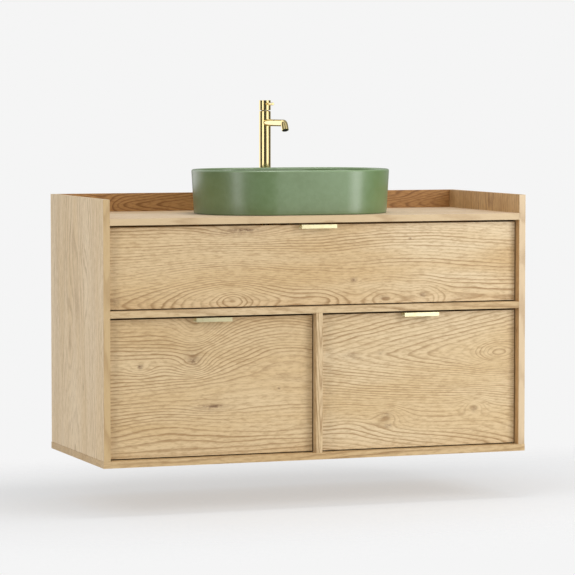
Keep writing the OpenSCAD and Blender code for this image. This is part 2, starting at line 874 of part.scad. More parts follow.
drawer_front(right_bay);  // lower_right_drawer_front
drawer_side(right_bay, -1);  // lower_right_drawer_left_side
drawer_side(right_bay, 1);  // lower_right_drawer_right_side
drawer_back(right_bay);  // lower_right_drawer_back
drawer_bottom(right_bay);  // lower_right_drawer_bottom
handle(right_bay);  // lower_right_handle
color(STEEL) runner_pair(right_bay) middle_section();  // lower_right_runner_middle
color(STEEL) runner_pair(right_bay) inner_section();  // lower_right_runner_inner
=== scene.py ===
# %% [markdown]
# # A vessel basin on a wall-hung oak vanity
# The cabinet, its drawers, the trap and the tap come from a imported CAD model, already in metres and in
# place. Here each part gets what a drawing leaves out: eased edges, grain, glaze, polish, and light to see
# them by.

# %% Load the drawn parts
import json
import bmesh
import bpy
from math import atan2, cos, hypot, pi, radians, sin, tan
from mathutils import Matrix, Vector

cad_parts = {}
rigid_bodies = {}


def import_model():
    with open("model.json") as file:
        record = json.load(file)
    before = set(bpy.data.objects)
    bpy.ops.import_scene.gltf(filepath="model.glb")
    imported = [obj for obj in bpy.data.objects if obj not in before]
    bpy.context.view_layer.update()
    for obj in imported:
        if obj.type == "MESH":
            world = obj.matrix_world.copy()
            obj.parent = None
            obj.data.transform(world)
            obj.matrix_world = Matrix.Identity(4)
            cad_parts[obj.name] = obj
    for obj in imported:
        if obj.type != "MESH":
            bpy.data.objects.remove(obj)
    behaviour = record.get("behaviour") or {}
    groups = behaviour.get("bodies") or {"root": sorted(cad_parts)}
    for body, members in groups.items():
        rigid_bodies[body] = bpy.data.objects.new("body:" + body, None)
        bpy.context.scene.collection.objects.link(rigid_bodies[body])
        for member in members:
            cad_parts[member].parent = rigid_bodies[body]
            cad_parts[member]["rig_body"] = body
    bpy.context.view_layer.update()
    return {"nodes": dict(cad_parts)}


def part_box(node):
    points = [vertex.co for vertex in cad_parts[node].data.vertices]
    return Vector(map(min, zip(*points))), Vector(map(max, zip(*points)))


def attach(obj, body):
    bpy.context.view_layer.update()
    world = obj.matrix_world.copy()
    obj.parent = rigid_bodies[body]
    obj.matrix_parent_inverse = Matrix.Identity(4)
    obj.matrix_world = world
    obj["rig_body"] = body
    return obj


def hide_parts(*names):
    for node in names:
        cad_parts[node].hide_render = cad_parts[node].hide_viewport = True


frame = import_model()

# %% [markdown]
# ## Where the viewer stands
# A long lens from eight metres away keeps the cabinet's lines almost parallel, as in a catalogue. The
# viewer stands to the left of the cabinet's middle and a little above the countertop. Blender's camera
# looks down its own -Z, so it is first tipped up to the horizon and then turned.

# %% Camera
viewer = bpy.data.cameras.new("viewer")
viewer.lens = 189.9
viewer.sensor_width = 36.0
viewer.clip_end = 60.0
viewer_stand = bpy.data.objects.new("viewer", viewer)
viewer_stand.location = (-2.8542, -7.7734, 0.9645)
viewer_stand.rotation_euler = (radians(90 - 3.59), 0, radians(-20.166))
bpy.context.scene.collection.objects.link(viewer_stand)
bpy.context.scene.camera = viewer_stand
bpy.context.scene.view_settings.view_transform = "Standard"
print("lens:", viewer.lens, "mm, distance:", round(viewer_stand.location.length, 2), "m")

# %% [markdown]
# ## Colour and wiring
# Colours are given as they look on a screen, so they are written as screen numbers from 0 to 255 and turned
# into the linear light that a shader adds up. Materials here are sums and products of patterns. Wiring each
# Math node by hand hides the idea, so a small class wraps one socket and lets it be used in ordinary
# arithmetic.

# %% Screen colours
def shade(red, green, blue):
    """A screen colour, 0 to 255, as the linear colour that a shader takes."""
    def linear(c):
        c /= 255
        return c / 12.92 if c <= 0.04045 else ((c + 0.055) / 1.055) ** 2.4
    return (linear(red), linear(green), linear(blue), 1.0)


print("mid grey in linear light:", round(shade(128, 128, 128)[0], 3))


# %% Sockets that do arithmetic
class Wire:
    """One output socket. Arithmetic on it adds Math nodes, also where a plain number comes first, and make()
    adds any other node beside it."""

    def __init__(self, tree, socket):
        self.tree, self.socket = tree, socket

    def make(self, kind, settings, values, out=0):
        node = self.tree.nodes.new(kind)
        for name, value in settings.items():
            setattr(node, name, value)
        for name, value in values.items():
            if isinstance(value, Wire):
                self.tree.links.new(value.socket, node.inputs[name])
            else:
                node.inputs[name].default_value = value
        return Wire(self.tree, node.outputs[out])

    def math(self, operation, *values):
        return self.make("ShaderNodeMath", {"operation": operation}, dict(enumerate(values)))

    def __add__(self, other):
        return self.math("ADD", self, other)

    def __radd__(self, other):
        return self.math("ADD", other, self)

    def __sub__(self, other):
        return self.math("SUBTRACT", self, other)

    def __rsub__(self, other):
        return self.math("SUBTRACT", other, self)

    def __mul__(self, other):
        return self.math("MULTIPLY", self, other)

    def __rmul__(self, other):
        return self.math("MULTIPLY", other, self)

    def __truediv__(self, other):
        return self.math("DIVIDE", self, other)

    def __rtruediv__(self, other):
        return self.math("DIVIDE", other, self)

    def __pow__(self, other):
        return self.math("POWER", self, other)

    def __rpow__(self, other):
        return self.math("POWER", other, self)

    def larger(self, other):
        """The larger of this and another value."""
        return self.math("MAXIMUM", self, other)

    def between(self, low, high, first=0.0, last=1.0):
        """Rises smoothly from first at low to last at high, and stays there."""
        return self.make("ShaderNodeMapRange", {"interpolation_type": "SMOOTHSTEP"},
                         {0: self, 1: low, 2: high, 3: first, 4: last})

    def mixed(self, first, second):
        """The colour first where this is 0 and second where it is 1."""
        return self.make("ShaderNodeMix", {"data_type": "RGBA"}, {0: self, 6: first, 7: second}, out=2)


print("a wire can add, multiply and mix")


# %% Patterns and finishes
def cloud(x, y, z, detail=2.0, seed=0.0):
    """Soft noise from about 0.2 to 0.8, read at x, y, z: the numbers say how many cells fit in a metre."""
    where = x.make("ShaderNodeCombineXYZ", {}, {0: x + seed, 1: y, 2: z})
    return x.make("ShaderNodeTexNoise", {}, {"Vector": where, "Scale": 1.0, "Detail": detail})


def new_finish(name):
    """A material with nothing in it yet, and x, y and z of the point that is being coloured, in metres."""
    finish = bpy.data.materials.new(name)
    finish.use_nodes = True
    finish.node_tree.nodes.clear()
    place = Wire(finish.node_tree, finish.node_tree.nodes.new("ShaderNodeTexCoord").outputs["Object"])
    split = place.make("ShaderNodeSeparateXYZ", {}, {0: place})
    return finish, [Wire(finish.node_tree, split.socket.node.outputs[i]) for i in range(3)]


def close_finish(finish, colour, roughness, height=None, relief=0.0, **fixed):
    """Joins the patterns to the surface. fixed are the numbers that don't vary; relief is in metres."""
    tree = finish.node_tree
    surface = tree.nodes.new("ShaderNodeBsdfPrincipled")
    skin = Wire(tree, surface.outputs[0])
    for name, value in {"Base Color": colour, "Roughness": roughness, **fixed}.items():
        name = name.replace("_", " ")
        if isinstance(value, Wire):
            tree.links.new(value.socket, surface.inputs[name])
        else:
            surface.inputs[name].default_value = value
    if height is not None:
        bump = skin.make("ShaderNodeBump", {}, {"Height": height, "Distance": relief, "Strength": 1.0})
        tree.links.new(bump.socket, surface.inputs["Normal"])
    tree.links.new(skin.socket, tree.nodes.new("ShaderNodeOutputMaterial").inputs["Surface"])
    return finish


print("finishes read object coordinates, so a pattern stays with its drawer when it slides")

# %% [markdown]
# ## Oak boards
# A flat-sawn oak board is a slice through a leaning cone of yearly rings. Where the slice passes near the
# heart, the rings come out as long nested arches; away from it they are nearly straight lines. So the
# pattern is not a picture but a solid: the distance from the heart line, counted in rings, with a taper
# along the trunk. Knots push the rings aside, and are added as smooth hills. The fraction of that count
# says how far through one year a point is: pale and open at first, then slowly darker, then a sharp step
# to the next spring.


# %% Rings, arches and knots
def tinted(tone, red, green, blue):
    """A screen tone with each of its colours multiplied, as the linear colour that a shader takes."""
    return shade(*(min(255, colour * by) for colour, by in zip(tone, (red, green, blue))))


def hill(u, v, at_u, at_v, wide, tall):
    """1 at a place on the board, falling smoothly to 0 round it, and 1/e high where wide or tall says."""
    along = (u - at_u) / wide
    across = (v - at_v) / tall
    one_over_e = 1 / 2.71828
    return one_over_e ** (along * along + across * across)


def oak(name, axes, tone, heart, depth=0.05, rings=100.0, taper=0.0, skew=0.0, wander=3.0,
        bends=(), swirls=(), knots=(), seed=0.0, contrast=1.0, lip=None, far=None):
    """An oak board. axes are the board's own x, y or z along the grain, across it and through it. heart is
    (across, through) of the heart line. bends are (along, across, wide, tall, rings). swirls are places that
    the rings flow round, (along, across, wide, tall, own rings). knots are stains, (along, across, wide,
    tall, how dark). tone is the screen colour of its pale wood, which on some boards carries painted light
    and shade, far the one that it fades to along the grain, which on the upper front is partly painted
    light, and lip that of the band on the carcass's front edge."""
    finish, xyz = new_finish(name)
    u, v, w = (xyz["xyz".index(axis)] for axis in axes)
    across, through = v - heart[0], w - heart[1]

    # Rings from the heart line, leaning, wandering and bent, then how far through its year each point is.
    sway = cloud(u * 0.9, v * 5.0, w * 5.0, seed=seed)
    count = (across * across + through * through + depth * depth) ** 0.5 * rings
    count = count - u * taper - across * skew + (sway - 0.5) * wander
    count = count + (cloud(u * 8.0, v * 45.0, w * 45.0, seed=seed + 3) - 0.5) * 1.1
    for at_u, at_v, wide, tall, lift in bends:
        count = count + hill(u, v, at_u, at_v, wide, tall) * lift
    for at_u, at_v, wide, tall, own in swirls:
        core = hill(u, v, at_u, at_v, wide, tall)
        way = rings if at_v > heart[0] else -rings
        count = count - core * (v - at_v) * way + core * own
    year = count.math("FRACT", count)
    late = year.between(0.45, 1.0)
    spring = year.between(0.0, 0.16, 1.0, 0.0)
    line = (late * late).larger(spring)

    # Where the lines are strong, then flecks, pores and broad changes of tone.
    strength = cloud(u * 1.6, count * 0.36, w * 3.0, detail=3.0, seed=seed + 7).between(0.36, 0.64, 0.22, 1.0)
    fleck = cloud(u * 55.0, v * 250.0, w * 250.0, detail=3.0, seed=seed + 11)
    pore = cloud(u * 150.0, v * 2600.0, w * 2600.0, detail=1.0, seed=seed).between(0.56, 0.70)
    pore = pore * line.between(0.1, 0.9, 0.25, 1.0)
    broad = cloud(u * 1.6, v * 9.0, w * 9.0, detail=3.0, seed=seed + 19).between(0.30, 0.70)

    # The board's own tone gives the warmer, darker and paler ones. Only the knots have a brown of their own.
    # The fade from tone to far along the grain is partly painted light on the upper front.
    pale = u.between(-0.5, 0.55).mixed(shade(*tone), shade(*far)) if far else shade(*tone)
    warm = tinted(tone, 0.955, 0.925, 0.865)
    dark = tinted(tone, 0.74, 0.66, 0.545)
    pale_fleck = tinted(tone, 1.05, 1.05, 1.05)
    pore_brown = tinted(tone, 0.62, 0.53, 0.42)
    knot_brown = shade(104, 72, 44)
    colour = broad.mixed(pale, warm)
    colour = (line * strength * (0.90 * contrast)).mixed(colour, dark)
    colour = fleck.between(0.42, 0.75, 0.0, 0.50 * contrast).mixed(colour, dark)
    colour = fleck.between(0.25, 0.45, 0.30 * contrast, 0.0).mixed(colour, pale_fleck)
    colour = (pore * 0.38).mixed(colour, pore_brown)
    ragged = cloud(u * 90.0, v * 190.0, w * 190.0, detail=3.0, seed=seed + 23).between(0.35, 0.62)
    for at_u, at_v, wide, tall, darkness in knots:
        stain = hill(u, v, at_u, at_v, wide, tall)
        colour = (stain * (ragged * 0.75 + 0.25) * darkness).mixed(colour, knot_brown)
    if lip:
        # The band ends within a millimetre of the front edge, so it hardly reaches the board's faces.
        band = xyz[1].between(carcass_front + 0.0004, carcass_front + 0.0010, 1.0, 0.0)
        colour = (band * 0.8).mixed(colour, (line * strength * 0.5).mixed(shade(*lip), dark))

    height = fleck * 0.5 - pore * 0.8 - line * strength * 0.35
    roughness = 0.50 + fleck * 0.14 - line * 0.05 + pore * 0.12
    return close_finish(finish, colour, roughness, height, 0.00022, IOR=1.45)


carcass_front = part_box("bottom_panel")[0].y
print("each board gets its own heart, arches and knots; front edges at y =", round(carcass_front, 3))

# %% [markdown]
# ## The three drawer fronts
# The fronts carry the pattern that one notices first, so each is laid out on its own: the upper one has an
# arch running off its lower edge, the lower left one a pair of swirling knots, and the lower right one a
# row of nested arches that point left and close round an eye. Places are in metres in the cabinet's frame.

# %% Fronts
front_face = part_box("upper_drawer_front")[0].y
fronts = {
    # The fade to a paler tone towards the right end is partly the wood's own and partly painted light, which
    # falls more strongly on the cabinet's right.
    "upper_drawer_front": oak(
        "oak_upper_front", "xzy", (208, 182, 140), far=(219, 199, 163), heart=(0.418, front_face),
        depth=0.030, rings=128.0, skew=6.0, wander=3.2, seed=4.2,
        bends=[(-0.25, 0.420, 0.20, 0.11, -9.0), (-0.235, 0.430, 0.045, 0.030, -3.0),
               (0.02, 0.418, 0.08, 0.06, -3.5), (0.20, 0.418, 0.07, 0.06, -4.5),
               (0.31, 0.418, 0.05, 0.05, -4.0), (-0.20, 0.612, 0.10, 0.025, 3.0),
               (0.27, 0.57, 0.24, 0.10, -2.8)],
        swirls=[(0.107, 0.476, 0.016, 0.009, 1.4), (0.307, 0.435, 0.018, 0.010, 1.4)],
        knots=[(-0.205, 0.615, 0.038, 0.004, 0.95), (-0.23, 0.609, 0.07, 0.012, 0.35),
               (0.107, 0.476, 0.007, 0.005, 0.8), (0.269, 0.585, 0.004, 0.003, 0.9),
               (0.307, 0.433, 0.008, 0.006, 0.75), (0.19, 0.428, 0.015, 0.006, 0.6),
               (-0.56, 0.43, 0.02, 0.01, 0.4)]),
    "lower_left_drawer_front": oak(
        "oak_lower_left_front", "xzy", (208, 183, 142), heart=(-0.02, front_face), depth=0.03, rings=98.0,
        wander=5.0, seed=17.0,
        bends=[(-0.33, 0.37, 0.07, 0.05, 3.0), (-0.08, 0.285, 0.20, 0.075, -7.5),
               (-0.12, 0.38, 0.16, 0.05, -4.0), (-0.34, 0.345, 0.05, 0.05, 3.0),
               (-0.30, 0.20, 0.20, 0.03, -1.5), (-0.43, 0.10, 0.14, 0.05, -2.5)],
        swirls=[(-0.344, 0.275, 0.046, 0.034, 2.6), (-0.492, 0.261, 0.034, 0.018, 1.8),
                (-0.286, 0.151, 0.060, 0.014, 1.2), (-0.106, 0.193, 0.012, 0.007, 0.8)],
        knots=[(-0.344, 0.273, 0.010, 0.009, 0.85), (-0.347, 0.280, 0.026, 0.022, 0.30),
               (-0.492, 0.261, 0.008, 0.006, 0.95), (-0.286, 0.151, 0.030, 0.004, 0.85),
               (-0.30, 0.146, 0.045, 0.010, 0.35), (-0.106, 0.193, 0.004, 0.004, 0.8)]),
    # Its tone is paler than the lower left front's, partly painted light, which falls more strongly on the
    # cabinet's right.
    "lower_right_drawer_front": oak(
        "oak_lower_right_front", "xzy", (212, 189, 150), heart=(0.270, front_face), depth=0.016, rings=104.0,
        taper=18.0, skew=14.0, wander=2.6, seed=31.0,
        bends=[(0.527, 0.270, 0.06, 0.036, -5.0), (0.56, 0.13, 0.38, 0.09, 6.5),
               (0.33, 0.09, 0.12, 0.03, -1.5), (0.10, 0.10, 0.07, 0.05, 2.0)],
        swirls=[(0.206, 0.098, 0.044, 0.030, 3.0), (0.459, 0.120, 0.034, 0.024, 3.0)],
        knots=[(0.206, 0.082, 0.010, 0.007, 0.7), (0.199, 0.110, 0.020, 0.010, 0.4),
               (0.459, 0.118, 0.010, 0.008, 0.55), (0.10, 0.272, 0.03, 0.012, 0.35),
               (0.185, 0.278, 0.014, 0.006, 0.35)]),
}
print("fronts:", [f.name for f in fronts.values()], "face at y =", round(front_face, 4))

# %% [markdown]
# ## The carcass boards
# The side panels and the divider stand with their grain upright, the other boards lie with it lengthwise.
# Each board has a tone of its own, and some an edge tone, since a narrow front edge often differs from its
# board's face. Some tones carry painted light and shade: the left side and the countertop are made paler
# than the fronts for the light and grazing sheen that they catch, the right side darker for the shade on
# its inner face, and the upstand at the back, the darkest board of all, partly for the shade it stands in.

# %% Carcass
side_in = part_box("right_side_panel")[0].x
side_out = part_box("right_side_panel")[1].x
top_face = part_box("countertop")[1].z
upstand_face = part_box("back_upstand")[0].y
carcass = {
    # Painted light: this board's tone is paler than the right side panel's, for the light and grazing sheen
    # that it catches.
    "left_side_panel": oak(
        "oak_left_side", "zyx", (219, 196, 160), heart=(0.02, -side_out), depth=0.05, rings=75.0, taper=-5.0,
        wander=5.0, seed=8.0, contrast=0.75, lip=(184, 155, 108),
        bends=[(0.30, 0.05, 0.16, 0.05, 4.0), (0.46, -0.10, 0.10, 0.04, -3.0)],
        knots=[(0.20, -0.06, 0.02, 0.008, 0.35), (0.54, 0.10, 0.015, 0.006, 0.3)]),
    # Painted shade: this board's tone is darker than the left side panel's, for the shade on its inner face,
    # which faces the viewer.
    "right_side_panel": oak(
        "oak_right_side", "zyx", (196, 160, 112), heart=(-0.05, side_in), depth=0.03, rings=95.0, taper=6.0,
        seed=21.0, wander=4.0, lip=(207, 186, 153),
        knots=[(0.33, -0.235, 0.01, 0.005, 0.6), (0.675, -0.06, 0.012, 0.008, 0.6)]),
    "centre_divider": oak(
        "oak_divider", "zyx", (206, 181, 142), heart=(-0.25, 0.004), depth=0.004, rings=150.0, taper=9.0,
        seed=33.0, wander=2.0),
    # Painted sheen: the top's tone is paler than the fronts', for the pale reflection that it catches at a
    # grazing angle.
    "countertop": oak(
        "oak_top", "xyz", (222, 199, 168), heart=(-0.05, top_face), depth=0.03, rings=90.0, taper=4.0,
        seed=41.0, wander=5.0, contrast=0.7, lip=(193, 168, 128),
        bends=[(-0.40, -0.10, 0.20, 0.05, 4.0), (0.42, -0.05, 0.15, 0.05, -4.0)]),
    # Painted shade: the upstand's dark tone is partly the shade that it stands in, under the countertop's
    # edge and beside the side panel.
    "back_upstand": oak(
        "oak_upstand", "xzy", (176, 132, 80), heart=(0.668, upstand_face), depth=0.008, rings=150.0,
        taper=16.0, seed=53.0, wander=4.0, contrast=1.25,
        bends=[(-0.46, 0.67, 0.05, 0.02, 3.0), (-0.52, 0.685, 0.04, 0.02, -2.0),
               (0.40, 0.68, 0.12, 0.02, 3.0)]),
    "middle_shelf": oak(
        "oak_shelf", "xyz", (202, 177, 137), heart=(-0.20, 0.43), depth=0.02, rings=95.0, taper=3.0,
        seed=61.0),
    "bottom_panel": oak(
        "oak_bottom", "xyz", (197, 169, 125), heart=(-0.20, -0.03), depth=0.02, rings=95.0, taper=3.0,
        seed=71.0),
    "upper_back_rail": oak(
        "oak_rail", "xzy", (214, 184, 138), heart=(0.55, 0.24), depth=0.03, rings=95.0, taper=3.0, seed=81.0),
    "lower_back_panel": oak(
        "oak_back", "xzy", (214, 184, 138), heart=(0.20, 0.24), depth=0.03, rings=80.0, taper=5.0, seed=91.0),
}
print("carcass boards:", len(carcass))

# %% [markdown]
# ## Birch plywood drawer boxes
# The boxes are birch plywood: pale, nearly plain faces, and edges that show the plies as thin stripes.
# Along the board's thickness the plies alternate, and because a face lies at one depth it comes out plain
# by itself.


# %% Plywood
PLY = 0.0014  # one layer of veneer, in metres


def birch(name, axes, middle, thickness):
    """Plywood with its grain along axes[0]; middle is where the board's mid-plane is on axes[2]."""
    finish, xyz = new_finish(name)
    u, v, w = (xyz["xyz".index(axis)] for axis in axes)
    plies = max(5, 2 * round(thickness / (2 * PLY)) + 1)
    level = (w - (middle - thickness / 2)) * (plies / thickness)
    ply = level.math("PINGPONG", level, 1.0).between(0.35, 0.65)
    inside = level.math("ABSOLUTE", level - plies / 2).between(plies / 2 - 0.9, plies / 2 - 0.6, 1.0, 0.0)
    figure = cloud(u * 3.0, v * 26.0, w * 26.0, detail=4.0, seed=middle * 9)
    fibre = cloud(u * 40.0, v * 900.0, w * 900.0, detail=2.0)
    colour = figure.between(0.35, 0.65).mixed(shade(236, 219, 188), shade(226, 203, 167))
    colour = fibre.between(0.45, 0.8, 0.0, 0.35).mixed(colour, shade(196, 166, 126))
    colour = (ply * inside * 0.8).mixed(colour, shade(176, 134, 92))
    height = fibre * -0.5 + figure * 0.3 - ply * inside * 0.4
    return close_finish(finish, colour, 0.42 + fibre * 0.2, height, 0.00015, IOR=1.45)


boxes = {}
for drawer in ("upper_drawer", "lower_left_drawer", "lower_right_drawer"):
    for piece, axes in (("left_side", "yzx"), ("right_side", "yzx"), ("back", "xzy"), ("bottom", "xyz")):
        node = drawer + "_" + piece
        low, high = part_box(node)
        through = "xyz".index(axes[2])
        middle, thickness = (low[through] + high[through]) / 2, high[through] - low[through]
        boxes[node] = birch("birch_" + node, axes, middle, thickness)
surround_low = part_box("upper_drawer_trap_surround")[0]
surround_thick = 0.012
boxes["upper_drawer_trap_surround"] = birch(
    "birch_trap_surround", "xzy", surround_low.y + surround_thick / 2, surround_thick)
print("plywood parts:", len(boxes))

# %% [markdown]
# ## Glaze
# The basin has a satin sage glaze. Fired glaze is never one flat green: it pools a little darker towards
# the foot. The paler band at the rim is partly the glaze thinning over the edge and partly a painted
# highlight on the rim's rounded edge, and a thin dark line at the very foot is a painted contact shadow.
# Painted shade makes the left end darker and more olive, and painted light makes the right end paler. The
# glaze has a faint orange-peel surface with the odd pinhole speck. A thin clear coat over a rougher body
# gives the soft sheen.


# %% Sage glaze
basin_low, basin_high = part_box("basin")
glaze, (x, y, z) = new_finish("sage_glaze")
pool = cloud(x * 7.0, y * 7.0, z * 9.0, detail=3.0)
mottle = cloud(x * 60.0, y * 60.0, z * 60.0, detail=4.0)
speck = cloud(x * 420.0, y * 420.0, z * 420.0, detail=1.0, seed=5.0).between(0.72, 0.80)
peel = cloud(x * 150.0, y * 150.0, z * 150.0, detail=2.0)
height_up = (z - basin_low.z) / (basin_high.z - basin_low.z)
shade_and_light_along_basin = (x - basin_low.x) / (basin_high.x - basin_low.x)
green = pool.between(0.3, 0.7).mixed(shade(88, 110, 64), shade(97, 120, 77))
green = mottle.between(0.35, 0.7, 0.0, 0.35).mixed(green, shade(106, 129, 88))
green = height_up.between(0.0, 0.35, 0.28, 0.0).mixed(green, shade(68, 86, 46))
# The pale band round the rim is partly the glaze thinning over the edge and partly a painted highlight on the
# rounded rim.
green = height_up.between(0.955, 1.0, 0.0, 0.5).mixed(green, shade(134, 156, 118))
# Painted contact shadow: a thin dark line along the very foot, where the basin stands on the countertop.
green = height_up.between(0.0, 0.025, 0.85, 0.0).mixed(green, shade(44, 50, 30))
# Painted shade darkens the left end towards olive, and painted light makes the right end paler.
green = shade_and_light_along_basin.between(0.05, 0.40, 0.25, 0.0).mixed(green, shade(62, 74, 36))
green = shade_and_light_along_basin.between(0.30, 0.90, 0.0, 0.32).mixed(green, shade(112, 142, 90))
green = (speck * 0.35).mixed(green, shade(52, 66, 38))
close_finish(glaze, green, 0.37 + mottle * 0.08 + speck * 0.1, peel * 0.6 + pool * 0.4, 0.0002,
             IOR=1.6, Coat_Weight=0.55, Coat_Roughness=0.26)
print("glaze from z =", round(basin_low.z, 3), "to", round(basin_high.z, 3))

# %% [markdown]
# ## Brass, steel, rubber and plastic
# The tap is polished brass: a metal has almost no colour of its own beyond what it reflects, so the finish
# is only a warm tint, a very smooth surface and faint marks from polishing and from wiping round the
# column. The edge pulls are paler and brushed along their length. Runners are zinc-plated steel, and the
# trap is moulded plastic with the slight waviness and scuffs of a part that nobody looks at.


# %% Metals
def polished_brass(name, tint, roughness=0.06, brushed_along=None):
    """Brass. brushed_along is the axis that the brush ran along, or None for a mirror polish."""
    finish, (x, y, z) = new_finish(name)
    cells = [300.0, 300.0, 1400.0]
    if brushed_along:
        cells = [6.0 if axis == brushed_along else 900.0 for axis in "xyz"]
    hairline = cloud(x * cells[0], y * cells[1], z * cells[2], detail=3.0)
    wipe = cloud(x * 30.0, y * 30.0, z * 18.0, detail=3.0, seed=2.0)
    tarnish = cloud(x * 75.0, y * 75.0, z * 50.0, detail=4.0, seed=6.0).between(0.5, 0.78)
    colour = (tarnish * 0.35).mixed(shade(*tint), tinted(tint, 0.88, 0.83, 0.72))
    rough = roughness + wipe.between(0.4, 0.75) * 0.03 + hairline * (0.16 if brushed_along else 0.03)
    relief = hairline if brushed_along else cloud(x * 55.0, y * 55.0, z * 12.0, detail=1.0, seed=9.0)
    return close_finish(finish, colour, rough, relief, 0.00002 if brushed_along else 0.00001, Metallic=1.0)


tap_brass = polished_brass("polished_brass", (233, 213, 154))
pull_brass = polished_brass("pale_brushed_brass", (228, 218, 176), roughness=0.30, brushed_along="x")

zinc, (x, y, z) = new_finish("zinc_plated_steel")
spangle = x.make("ShaderNodeCombineXYZ", {}, {0: x * 260.0, 1: y * 260.0, 2: z * 260.0})
crystal = x.make("ShaderNodeTexVoronoi", {"feature": "F1"}, {"Vector": spangle, "Scale": 1.0}, out="Color")
grain = x.make("ShaderNodeSeparateXYZ", {}, {0: crystal})
rolled = cloud(x * 500.0, y * 9.0, z * 700.0, detail=2.0)
colour = grain.mixed(shade(176, 180, 184), shade(204, 207, 209))
close_finish(zinc, colour, 0.26 + grain * 0.08 + rolled * 0.14, rolled, 0.00002, Metallic=1.0)
print("metals:", tap_brass.name, pull_brass.name, zinc.name)


# %% Rubber and plastic
rubber, (x, y, z) = new_finish("black_rubber")
dust = cloud(x * 120.0, y * 120.0, z * 120.0, detail=4.0)
colour = dust.between(0.45, 0.8).mixed(shade(34, 34, 35), shade(58, 57, 56))
close_finish(rubber, colour, 0.62 + dust * 0.2, cloud(x * 900.0, y * 900.0, z * 900.0), 0.00006, IOR=1.5)

plastic, (x, y, z) = new_finish("white_moulded_plastic")
flow = cloud(x * 26.0, y * 26.0, z * 40.0, detail=3.0)
scuff = cloud(x * 240.0, y * 240.0, z * 60.0, detail=4.0).between(0.58, 0.72)
colour = flow.between(0.35, 0.7).mixed(shade(238, 238, 234), shade(228, 228, 222))
colour = (scuff * 0.3).mixed(colour, shade(200, 199, 192))
close_finish(plastic, colour, 0.30 + flow * 0.12 + scuff * 0.15, flow - scuff * 0.2, 0.00025, IOR=1.46)
print("soft parts:", rubber.name, plastic.name)

# %% [markdown]
# ## From drawn solid to made part
# A drawn edge is perfectly sharp, and nothing made is. The drawn mesh is loose triangles and stays as it
# is; a copy is merged, its flat triangles are joined up again, and its sharp edges are rounded with a
# bevel a fraction of a millimetre wide. Weighted normals keep the broad faces flat while the rounded edges
# shine.


# %% Hand a finished mesh over to its body
finished = []


def hand_over(bm, name, body, finish, stands_for=()):
    """Makes a piece of the finished mesh, smooth except at corners, and lets it ride on its body."""
    corner = radians(38)
    for face in bm.faces:
        face.smooth = True
    for edge in bm.edges:
        edge.smooth = len(edge.link_faces) == 2 and edge.calc_face_angle(0.0) < corner
    mesh = bpy.data.meshes.new(name)
    bm.to_mesh(mesh)
    bm.free()
    mesh.materials.append(finish)
    piece = bpy.data.objects.new(name, mesh)
    bpy.context.scene.collection.objects.link(piece)
    weighted = piece.modifiers.new("flat faces stay flat", "WEIGHTED_NORMAL")
    weighted.keep_sharp = True
    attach(piece, body)
    if stands_for:
        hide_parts(*stands_for)
    finished.append(piece)


def ease(bm, width, segments=2, over=30, where=None):
    """Rounds the edges that turn by more than over degrees, or only those whose middle passes where."""
    edges = [e for e in bm.edges if len(e.link_faces) == 2 and e.calc_face_angle(0.0) > radians(over)
             and (where is None or where((e.verts[0].co + e.verts[1].co) / 2))]
    bmesh.ops.bevel(bm, geom=edges, offset=width, offset_type="OFFSET", segments=segments, profile=0.5,
                    affect="EDGES", material=-1, clamp_overlap=True)
    return len(edges)


def merged_copy(node):
    """A copy of a drawn part with its triangles merged and joined up into flat faces."""
    bm = bmesh.new()
    bm.from_mesh(frame["nodes"][node].data)
    bmesh.ops.remove_doubles(bm, verts=bm.verts[:], dist=1e-5)
    bmesh.ops.dissolve_limit(bm, angle_limit=radians(0.5), verts=bm.verts[:], edges=bm.edges[:])
    return bm


def eased_copy(node, width, finish, segments=2, where=None):
    """Puts a copy with rounded edges in a drawn part's place. Gives how many edges it rounded."""
    bm = merged_copy(node)
    count = ease(bm, width, segments, where=where)
    hand_over(bm, node + "_eased", frame["nodes"][node]["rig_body"], finish, [node])
    return count


print("helpers ready")

# %% [markdown]
# ## Boards, boxes and pulls
# Board edges are broken by about half a millimetre, plywood by a little more, as a sander would, and the
# bent sheet of the pulls by only a fraction of its thickness.

# %% Boards, boxes and pulls
oak_ease, birch_ease, pull_ease = 0.0006, 0.0008, 0.0003
for node, finish in {**fronts, **carcass}.items():
    print(node, "- edges rounded:", eased_copy(node, oak_ease, finish))
for node, finish in boxes.items():
    eased_copy(node, birch_ease, finish)
print("plywood parts eased:", len(boxes))
for node in ("upper_handle", "lower_left_handle", "lower_right_handle"):
    print(node, "- edges rounded:", eased_copy(node, pull_ease, pull_brass))

# %% [markdown]
# ## The basin
# In plan the basin is a racetrack: two half circles joined by straights. It could be an extruded outline,
# but the wall leans and its corners are round, so it is easier to draw the wall's section once and walk it
# round: spin it half a turn at one end, extrude it along the straight, and the same again back to the
# start. The section's corners are rounded first, while it is still a chain of edges: a big radius inside
# the bowl, a full round at the rim and a small one at the foot. Rounding them later, on the finished
# shell, tears at the seams.


# %% Walk the wall's section round the racetrack
bowl_centre = Vector((0, (basin_low.y + basin_high.y) / 2, 0))
straight = ((basin_high.x - basin_low.x) - (basin_high.y - basin_low.y)) / 2
reach = (basin_high.y - basin_low.y) / 2
foot, rim = basin_low.z, basin_high.z
lean, wall, floor_up = 0.007, 0.012, 0.014
lean_per_height = lean / (rim - foot)

